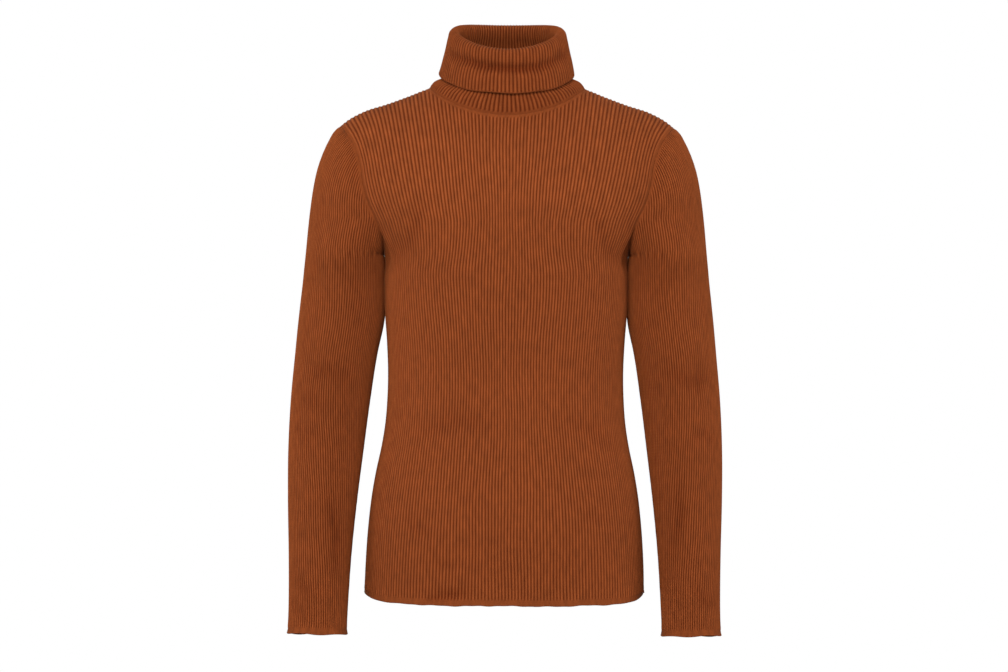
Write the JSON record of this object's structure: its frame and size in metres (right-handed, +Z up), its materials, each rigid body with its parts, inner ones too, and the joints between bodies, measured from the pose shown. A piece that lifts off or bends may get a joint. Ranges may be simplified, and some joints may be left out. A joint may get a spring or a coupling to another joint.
{
  "type": "ribbed roll-neck sweater, worn form",
  "caption": "Slim long-sleeved sweater in fine vertical rib knit with a folded roll neck, hollow and filled out as if worn; neck, hem and cuffs are open.",
  "frame": {"origin": "on the centre line, level with the side neck points, where the wearer's shoulders hold the sweater up", "axes": "+Z up, -Y the wearer's front, +X the wearer's left"},
  "size_m": [0.5632, 0.2315, 0.7958],
  "materials": {
    "front_knit": "matte rust-brown rib knit",
    "back_knit": "matte rust-brown rib knit",
    "sleeve_left_knit": "matte rust-brown rib knit",
    "sleeve_right_knit": "matte rust-brown rib knit",
    "collar_knit": "matte rust-brown rib knit"
  },
  "bodies": {
    "root": {"front": "front_knit", "back": "back_knit", "sleeve_left": "sleeve_left_knit", "sleeve_right": "sleeve_right_knit", "collar": "collar_knit"}
  },
  "joints": []
}
